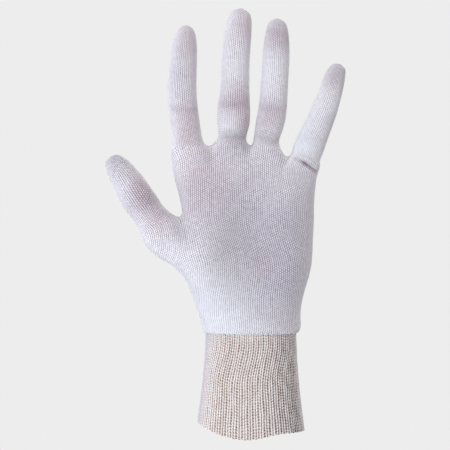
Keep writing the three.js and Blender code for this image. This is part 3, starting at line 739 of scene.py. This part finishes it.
def knitted_hand():
    """The plain-knit cloth as one closed surface: fine outside, coarser inside, joined at the wrist."""
    cage = hand_cage()
    base = new_mesh("hand_cage", fit_points(cage), cage.faces, fit_stitches(cage))
    outside = subdivided(base, 3)
    inside = subdivided(base, 2)
    outer = shaped(outside, 0)
    inner = shaped(inside, KNIT)
    outer_faces = [tuple(p.vertices) for p in outside.polygons]
    inner_faces = [tuple(p.vertices) for p in inside.polygons]
    outer_rim = rim_loop(outer_faces, outer)
    inner_rim = rim_loop(inner_faces, inner)
    start = min(range(len(outer_rim)), key=lambda k: math.dist(outer[outer_rim[k]], inner[inner_rim[0]]))
    outer_rim = outer_rim[start:] + outer_rim[:start]
    shift = len(outer)
    faces = outer_faces + [tuple(i + shift for i in face[::-1]) for face in inner_faces]
    # The inner faces are turned round, and so is the order of their corners' stitch numbers
    outer_uvs, inner_uvs = (read(made.uv_layers[0].data, "uv", 2) for made in (outside, inside))
    inner_uvs = inner_uvs.reshape(-1, 4, 2)[:, ::-1].reshape(-1, 2)
    rim_faces = []
    for k, a in enumerate(inner_rim):
        b = inner_rim[(k + 1) % len(inner_rim)]
        first, half, last = (outer_rim[(2 * k + step) % len(outer_rim)] for step in range(3))
        rim_faces += [(first, half, a + shift), (a + shift, half, b + shift), (half, last, b + shift)]
    places = np.vstack([outer, inner])
    uvs = np.vstack([outer_uvs, inner_uvs, np.zeros((3 * len(rim_faces), 2))])
    mesh = new_mesh("knitted_hand", places, faces + rim_faces, uvs)
    mesh.shade_smooth()
    paint_patches(mesh, places)
    return new_object("knitted_hand", mesh)


def paint_patches(mesh, places):
    """Stores at each point the amounts of the patches' tints with their painted shade, and of their painted
    highlight, as a colour attribute.
    """
    flat = places[:, [0, 2]]
    amounts = np.zeros((len(places), 4), np.float32)
    amounts[:, 3] = 1
    for patch in PATCHES.values():
        away = np.linalg.norm(flat - palm_place(patch["at"]), axis=1) / (patch["size"] * PALM_LENGTH)
        for channel, kind in enumerate(("pink_and_shade", "grey_and_shade", "painted_highlight")):
            amounts[:, channel] += patch.get(kind, 0) * np.exp(-(away**2))
    attribute = mesh.color_attributes.new("patches", "FLOAT_COLOR", "POINT")
    attribute.data.foreach_set("color", np.clip(amounts, 0, 1).ravel())
    facing = smoothstep(-read(mesh.vertices, "normal", 3)[:, 1], 0.1, 0.6)
    # Painted shade along the creases, on the palm side only
    store(mesh, "crease", crease_shade(places) * facing)


# Cuff


def even_oval(half_width, half_depth, turns):
    """Places and outward directions evenly spaced round the cuff's oval, from the front towards +X."""
    angle = (np.linspace(0, 1, 721) - 0.25) * 2 * np.pi
    x = half_width * fuller(np.cos(angle))
    y = half_depth * fuller(np.sin(angle))
    length = np.concatenate([[0], np.cumsum(np.hypot(np.diff(x), np.diff(y)))])
    wanted = (turns % 1) * length[-1]
    place = np.stack([np.interp(wanted, length, x), np.interp(wanted, length, y)], axis=-1)
    outward = place / np.array([half_width**2, half_depth**2])
    return place, outward / np.linalg.norm(outward, axis=1, keepdims=True)


def cuff_ring(down, ribs, inset):
    """A ring of the cuff at a share of the way down, at places counted in ribs, moved inwards by inset."""
    flare = max(down, 0) ** CUFF_FLARE
    half_width = lerp(CUFF_TOP_WIDTH, MOUTH_WIDTH, flare) / 2
    half_depth = lerp(CUFF_TOP_DEPTH, MOUTH_DEPTH, flare) / 2
    rib_width = math.pi * (half_width + half_depth) / RIBS
    lean = RIB_LEAN / rib_width * smoothstep(down, 0.08, 0.5)
    place, outward = even_oval(half_width, half_depth, (ribs - lean) / RIBS)
    side = place[:, 0] / half_width
    deep = place[:, 1] / half_depth
    around = np.arctan2(side, -deep) / (math.pi / 2) - MOUTH_LOW
    front_lift = np.where(
        around < 0,
        MOUTH_THUMB_SIDE["lift"] * smoothstep(-around, 0, MOUTH_THUMB_SIDE["reach"]),
        MOUTH_LITTLE_SIDE["lift"] * smoothstep(around, 0, MOUTH_LITTLE_SIDE["reach"]),
    )
    mouth = lerp(front_lift, MOUTH_BACK_LIFT, smoothstep(deep, 0, 1))
    place = place - outward * np.broadcast_to(inset, len(place))[:, None]
    scallop = MOUTH_SCALLOP * np.cos(2 * np.pi * ribs) * max(down, 0) ** 12
    return np.column_stack([place, lerp(CUFF_LENGTH + SEAM_RISE, mouth, down) - scallop])


def rib_relief(ribs, courses):
    """Height of the rib knit, 0 in a groove's bottom and 1 on a rib.

    A rib is a column of V stitches, two rows of slanting legs with a line between them. A groove shows
    the small bumps of the stitches that face inwards.
    """
    away = np.abs(ribs - np.round(ribs))
    leg = np.exp(-(((away - 0.23) / 0.15) ** 2))
    slanted = 0.5 + 0.5 * np.cos(2 * np.pi * (courses + 1.3 * away))
    bump = np.exp(-(((away - 0.5) / 0.12) ** 2)) * (0.5 + 0.5 * np.cos(2 * np.pi * (courses + 0.35)))
    return leg * (0.6 + 0.4 * slanted) + 0.1 * np.exp(-((away / 0.1) ** 2)) + 0.3 * bump


def uneven_courses(ribs):
    """How far a course lies off its level at a rib, in courses: a slow wave round the cuff."""
    turn = 2 * np.pi * ribs / RIBS
    return 0.5 * np.sin(7 * turn) + 0.3 * np.sin(17 * turn + 1) + 0.2 * np.sin(25 * turn + 2)


def ribbed_cuff():
    """The cuff: each rib's stitches outside, plain inside, its top just inside the plain knit's edge."""
    rng = np.random.default_rng(54)
    rows = round(CUFF_LENGTH / RIB_COURSE) * COURSE_STEPS
    columns = RIBS * RIB_STEPS
    ribs = np.arange(columns) / RIB_STEPS
    own_rib = np.round(ribs).astype(int) % RIBS
    wander = rng.uniform(-1, 1, (RIBS, 3))[own_rib]
    height = rng.uniform(0.85, 1.1, RIBS)[own_rib]
    places = []
    relief = []
    # Each rib wanders sideways and is a little higher or lower than the next
    for row in range(rows + 1):
        down = row / rows
        courses = row / COURSE_STEPS + uneven_courses(ribs)
        sway = 0.07 * wander[:, 0] * np.sin(row / COURSE_STEPS * 0.5 + 3 * wander[:, 1])
        stretch = 1 + 0.12 * wander[:, 2] * np.sin(row / COURSE_STEPS * 0.8 + 5 * wander[:, 0])
        rise = rib_relief(ribs, courses) * height * stretch
        inset = CUFF_TUCK + CUFF_NECK * (row == 0) + RIB_RISE * (1 - rise)
        places.append(cuff_ring(down - CUFF_OVERLAP * (1 - down), ribs + sway, inset))
        # Painted light: the first courses are made lighter, with less groove colour, against the shadow of
        # the plain knit's edge
        relief.append(rise + 0.12 * math.exp(-((row / (2 * COURSE_STEPS)) ** 2)))
    inner_rows = 24
    inner_columns = RIBS * 2
    lining = [
        cuff_ring(row / inner_rows, np.arange(inner_columns) / 2, RIB_KNIT + CUFF_TUCK * (row == 0))
        for row in range(inner_rows + 1)
    ]
    points = np.vstack(places + lining)
    mesh = new_mesh("ribbed_cuff", points, *cuff_faces(rows, columns, inner_rows, inner_columns))
    heights = np.concatenate([*relief, np.full(len(lining) * inner_columns, 0.6)])
    store(mesh, "relief", heights)
    steepness = -points[:, 0] / np.maximum(np.abs(points[:, 1]), 1)
    # Masks for painted light on the thumb's side, where the side light washes the cuff out, and painted
    # shade on the little finger's side
    store(mesh, "thumb_side_painted_light", smoothstep(steepness, 0.8, 4.5))
    store(mesh, "little_side_painted_shade", smoothstep(points[:, 0] / MOUTH_WIDTH, 0, 0.5))
    mesh.shade_smooth()
    return new_object("ribbed_cuff", mesh)


def cuff_faces(rows, columns, inner_rows, inner_columns):
    """Faces of both walls and both rims, with rib and course numbers at their corners."""
    faces = []
    uvs = []
    shift = (rows + 1) * columns
    step = columns // inner_columns
    levels = [uneven_courses(k / RIB_STEPS) for k in range(columns + 1)]

    def add_wall(first, rows, columns, numbers, turned):
        for row in range(rows):
            for k in range(columns):
                corners = [(row, k), (row + 1, k), (row + 1, k + 1), (row, k + 1)]
                if turned:
                    corners[1:] = corners[:0:-1]
                faces.append([first + r * columns + c % columns for r, c in corners])
                uvs.extend(numbers(r, c) for r, c in corners)

    add_wall(0, rows, columns, lambda r, c: (c / RIB_STEPS, r / COURSE_STEPS + levels[c]), False)
    add_wall(shift, inner_rows, inner_columns, lambda r, c: (c / 2, r), True)
    for outer_row, inner_row, turned in ((0, 0, True), (rows, inner_rows, False)):
        for k in range(inner_columns):
            a = shift + inner_row * inner_columns + k
            b = shift + inner_row * inner_columns + (k + 1) % inner_columns
            edge = [outer_row * columns + (step * k + i) % columns for i in range(step + 1)]
            fan = [(edge[i + 1], edge[i], a if i < step / 2 else b) for i in range(step)]
            fan.append((edge[step // 2], a, b))
            for triangle in fan:
                faces.append(triangle[::-1] if turned else triangle)
                uvs += [(0, 0)] * 3
    return faces, uvs


# Materials

STITCH_HEIGHT = 0.26  # of the plain stitches' surface pattern
FIBRE_HEIGHT = 0.1  # of the tufts on the ribs
CLOUDS_PER_METRE = 45  # lighter and darker areas, about 22 mm across
FIBRES_PER_METRE = 2600  # tufts of 0.4 mm: single fibres are too fine to show, so they are drawn coarser


def linear(code):
    """An sRGB hex colour as linear red, green, blue and alpha."""
    parts = [int(code[i:i + 2], 16) / 255 for i in (1, 3, 5)]
    return (*[c / 12.92 if c <= 0.04045 else ((c + 0.055) / 1.055) ** 2.4 for c in parts], 1)


def add(tree, kind, inputs, out=0, **settings):
    """Adds a node with its settings and links, and gives its output called or numbered out.

    inputs maps a socket's name or number to a value or to another node's output.
    """
    node = tree.nodes.new("ShaderNode" + kind)
    for name, value in settings.items():
        setattr(node, name, value)
    for socket, value in inputs.items():
        if isinstance(value, bpy.types.NodeSocket):
            tree.links.new(value, node.inputs[socket])
        else:
            node.inputs[socket].default_value = value
    return node.outputs[out] if node.outputs else None


def new_material(name):
    made = bpy.data.materials.new(name)
    made.use_nodes = True
    made.node_tree.nodes.clear()
    return made, made.node_tree


def tinted(tree, code, tints):
    """A colour turned towards each tint in turn, by the tint's amount."""
    colour = linear(code)
    for amount, tint in tints:
        tint = linear(tint) if isinstance(tint, str) else tint
        colour = add(tree, "Mix", {0: amount, 6: colour, 7: tint}, out=2, data_type="RGBA")
    return colour


def finish_cotton(tree, colour, bump, roughness, sheen):
    """Cotton: matt, with a faint sheen from its loose fibres. Its index of refraction is 1.53."""
    shader = add(tree, "BsdfPrincipled", {
        "Base Color": colour,
        "Roughness": roughness,
        "IOR": 1.53,
        "Specular IOR Level": 0.25,
        "Sheen Weight": sheen,
        "Sheen Roughness": 0.5,
        "Normal": bump,
    })
    add(tree, "OutputMaterial", {"Surface": shader})


def plain_stitches(tree, wales, courses):
    """Plain knit: the height of two slanting legs in each wale, and how open the gaps beside them are."""
    # The loops of neighbouring wales sit half a course apart, so the cloth shows columns and no rows
    column = add(tree, "Math", {0: wales}, operation="FLOOR")
    courses = add(tree, "Math", {0: column, 1: 0.5, 2: courses}, operation="MULTIPLY_ADD")
    inside = add(tree, "Math", {0: wales}, operation="FRACT")
    to_middle = add(tree, "Math", {0: inside, 1: 0.5}, operation="SUBTRACT")
    away = add(tree, "Math", {0: to_middle}, operation="ABSOLUTE")
    # A leg is 0.6 of a wale wide, and its crest lies 0.2 from the wale's middle
    from_crest = add(tree, "Math", {0: away, 1: 0.2}, operation="SUBTRACT")
    offset = add(tree, "Math", {0: from_crest, 1: 0.3}, operation="DIVIDE")
    fall = add(tree, "Math", {0: offset, 1: offset}, operation="MULTIPLY")
    across = add(tree, "Math", {0: 1.0, 1: fall}, operation="SUBTRACT")
    slanted = add(tree, "Math", {0: courses, 1: away}, operation="SUBTRACT")
    turn = add(tree, "Math", {0: slanted, 1: 2 * math.pi}, operation="MULTIPLY")
    wave = add(tree, "Math", {0: turn}, operation="COSINE")
    leg = add(tree, "Math", {0: wave, 1: 0.14, 2: 0.86}, operation="MULTIPLY_ADD")
    height = add(tree, "Math", {0: across, 1: leg}, operation="MULTIPLY")
    hollow = add(tree, "Math", {0: 1.0, 1: height}, operation="SUBTRACT")
    depth = add(tree, "Math", {0: hollow, 1: 1.4}, operation="POWER")
    opening = add(tree, "Math", {0: wave, 1: -0.22, 2: 0.95}, operation="MULTIPLY_ADD")
    gap = add(tree, "Math", {0: depth, 1: opening}, operation="MULTIPLY")
    return height, gap


def plain_knit():
    """Cotton stockinette in bleached yarn of about 1.2 mm: matt, with painted shade in the gaps between its
    stitches.
    """
    material, tree = new_material("plain_knit")
    stitches = add(tree, "UVMap", {}, uv_map="knit")
    places = add(tree, "TexCoord", {}, out="Object")
    # Wales and courses wander a little off their lines, in waves of about ten stitches
    wobble = add(tree, "TexNoise", {"Vector": stitches, "Scale": 0.1, "Detail": 1.0}, out=1)
    wander = {0: wobble, 1: (1.0, 2.0, 0.0), 2: stitches}
    moved = add(tree, "VectorMath", wander, operation="MULTIPLY_ADD")
    split = add(tree, "SeparateXYZ", {0: moved}).node
    height, gap = plain_stitches(tree, split.outputs[0], split.outputs[1])
    # Uneven yarn: thick and thin places every stitch or two, and lighter and darker areas
    uneven = add(tree, "TexNoise", {"Vector": stitches, "Scale": 0.6, "Detail": 3.0})
    cloudy = add(tree, "TexNoise", {"Vector": places, "Scale": CLOUDS_PER_METRE, "Detail": 2.0})
    cloud = add(tree, "MapRange", {0: cloudy, 1: 0.45, 2: 0.75, 3: 0.0, 4: 0.35})
    crease_shade_paint = add(tree, "Attribute", {}, out="Fac", attribute_name="crease")
    patches = add(tree, "VertexColor", {}, layer_name="patches")
    pink_and_shade, grey_and_shade, painted_highlight = add(tree, "SeparateColor", {0: patches}).node.outputs
    # The cloth is stretched most over the palm, where the grey amount is high, and its gaps, with their
    # painted shade, are the widest there
    stretch = add(tree, "Math", {0: grey_and_shade, 1: 0.35, 2: 0.9}, operation="MULTIPLY_ADD")
    # Fewer dark gaps where the painted highlight is
    highlight_clears_gaps = add(tree, "Math", {0: painted_highlight, 1: -0.6, 2: 1.0}, operation="MULTIPLY_ADD")
    # Painted shade in the gaps between the stitches, varied by the uneven yarn
    gap_shade = add(tree, "Math", {0: uneven, 1: 2.6, 2: 0.55}, operation="MULTIPLY_ADD")
    for factor in (gap, stretch, highlight_clears_gaps):
        gap_shade = add(tree, "Math", {0: gap_shade, 1: factor}, operation="MULTIPLY")
    # The yarn's own tints, with painted shade in its patches, creases and gaps, and painted highlights
    colour = tinted(tree, "#faf7fe", [
        (grey_and_shade, "#d6d4e0"),
        (pink_and_shade, "#e2d2db"),
        (painted_highlight, "#e3e8ef"),
        (cloud, "#c4bfcc"),
        (crease_shade_paint, "#8a6c70"),
        (gap_shade, "#453e4b"),
    ])
    bump = add(tree, "Bump", {"Strength": 1.0, "Distance": STITCH_HEIGHT * MM, "Height": height})
    finish_cotton(tree, colour, bump, 0.88, 0.8)
    return material


def rib_knit():
    """Unbleached cotton in 1x1 rib: cream ribs and dark brown grooves, with painted light on the thumb's
    side and painted shade on the little finger's side.
    """
    material, tree = new_material("rib_knit")
    stitches = add(tree, "UVMap", {}, uv_map="knit")
    places = add(tree, "TexCoord", {}, out="Object")
    relief, thumb_side_painted_light, little_side_painted_shade = (
        add(tree, "Attribute", {}, out="Fac", attribute_name=name)
        for name in ("relief", "thumb_side_painted_light", "little_side_painted_shade")
    )
    # Yarn of uneven colour, in specks of about half a stitch
    speckle = add(tree, "TexNoise", {"Vector": stitches, "Scale": 1.7, "Detail": 2.0})
    fibres = add(tree, "TexNoise", {"Vector": places, "Scale": FIBRES_PER_METRE, "Detail": 2.0})
    depth = add(tree, "MapRange", {0: relief, 1: 0.66, 2: 0.16, 3: 0.0, 4: 1.0})
    mottled = add(tree, "Math", {0: speckle, 1: 1.2, 2: 0.35}, operation="MULTIPLY_ADD")
    grooved = add(tree, "Math", {0: depth, 1: mottled}, operation="MULTIPLY")
    shaded = add(tree, "Math", {0: little_side_painted_shade, 1: 0.3}, operation="MULTIPLY")
    # Painted shade darkens grooves and ribs on the little finger's side; painted light pales the grooves and
    # greys the ribs on the thumb's side
    groove = tinted(tree, "#75604f", [(little_side_painted_shade, "#3a2e28"), (thumb_side_painted_light, "#948a8c")])
    colour = tinted(tree, "#ebe7e5", [
        (speckle, "#d1cccb"),
        (thumb_side_painted_light, "#b8b2b6"),
        (shaded, "#b8b0b8"),
        (grooved, groove),
    ])
    bump = add(tree, "Bump", {"Strength": 0.5, "Distance": FIBRE_HEIGHT * MM, "Height": fibres})
    finish_cotton(tree, colour, bump, 0.9, 0.2)
    return material


def backdrop_paper():
    """The studio's even pale ground. It gives off its own light, so no shadow or edge shows on it."""
    material, tree = new_material("backdrop_paper")
    glow = add(tree, "Emission", {"Color": linear("#ededed"), "Strength": 1.0})
    add(tree, "OutputMaterial", {"Surface": glow})
    return material


# Studio

# Square soft lights round the glove, their places and sizes in metres
LIGHTS = {
    "key": dict(place=(-0.8, -0.8, -0.3), size=0.8, watts=11, colour="#f8faff"),
    "left": dict(place=(-1.2, 0.3, 0.1), size=0.9, watts=7, colour="#ecf2ff"),
    "fill": dict(place=(0.5, -1.2, 0.8), size=1.2, watts=7, colour="#fff8f2"),
    "top": dict(place=(-0.3, -0.3, 1.4), size=0.9, watts=6, colour="#f8f8ff"),
    "back": dict(place=(0.3, 1.2, 0.5), size=1.2, watts=12, colour="#f8f8ff"),
}
LIGHTS_AIM = (-0.016, 0, 0.13)


def add_backdrop():
    """A floor that curves up into a wall all round, seen by the camera alone."""
    floor, radius, curve, top = -1500, 2600, 900, 4000
    profile = [(0, floor), (radius - curve, floor)]
    for step in range(1, 9):
        angle = step / 8 * math.pi / 2
        profile.append((radius - curve + curve * math.sin(angle), floor + curve * (1 - math.cos(angle))))
    profile += [(radius, top), (0, top)]
    turns = 48
    angles = np.arange(turns) / turns * 2 * np.pi
    points = [(r * math.cos(a), r * math.sin(a), z) for r, z in profile for a in angles]
    faces = []
    for row in range(len(profile) - 1):
        for k in range(turns):
            after = (k + 1) % turns
            low, high = row * turns, (row + 1) * turns
            faces.append((low + k, low + after, high + after, high + k))
    backdrop = new_object("backdrop", new_mesh("backdrop", points, faces))
    backdrop.data.materials.append(backdrop_paper())
    for flag in ("visible_diffuse", "visible_glossy", "visible_transmission", "visible_shadow"):
        setattr(backdrop, flag, False)


def add_light(name, place, size, watts, colour):
    lamp = bpy.data.lights.new(name, "AREA")
    lamp.size = size
    lamp.energy = watts
    lamp.color = linear(colour)[:3]
    holder = new_object(name, lamp)
    holder.location = place
    direction = holder.location - Vector(LIGHTS_AIM)
    holder.rotation_euler = direction.to_track_quat("Z", "Y").to_euler()


def add_studio():
    world = bpy.data.worlds.new("studio")
    world.use_nodes = True
    ambient = world.node_tree.nodes["Background"]
    ambient.inputs["Color"].default_value = linear("#f6f5fa")
    ambient.inputs["Strength"].default_value = 0.6
    bpy.context.scene.world = world
    for name, light in LIGHTS.items():
        add_light(name, **light)
    bpy.context.scene.view_settings.view_transform = "Standard"


def add_camera():
    """Straight on from about a metre. The picture's 450 pixels are 0.615 mm wide at the glove."""
    distance = 950
    pixel = 0.615
    across, up = -15.99, 129  # the picture's middle
    camera = bpy.data.cameras.new("camera")
    camera.sensor_width = 36
    camera.lens = camera.sensor_width * distance / (450 * pixel)
    holder = new_object("camera", camera)
    holder.location = (across * MM, -distance * MM, up * MM)
    holder.rotation_euler = (math.pi / 2, 0, 0)
    bpy.context.scene.camera = holder


add_camera()
add_studio()
add_backdrop()

hand = knitted_hand()
hand.data.materials.append(plain_knit())
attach(hand, "root")
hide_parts(*KNIT_NODES)

cuff = ribbed_cuff()
cuff.data.materials.append(rib_knit())
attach(cuff, "root")
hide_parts("rib_cuff")
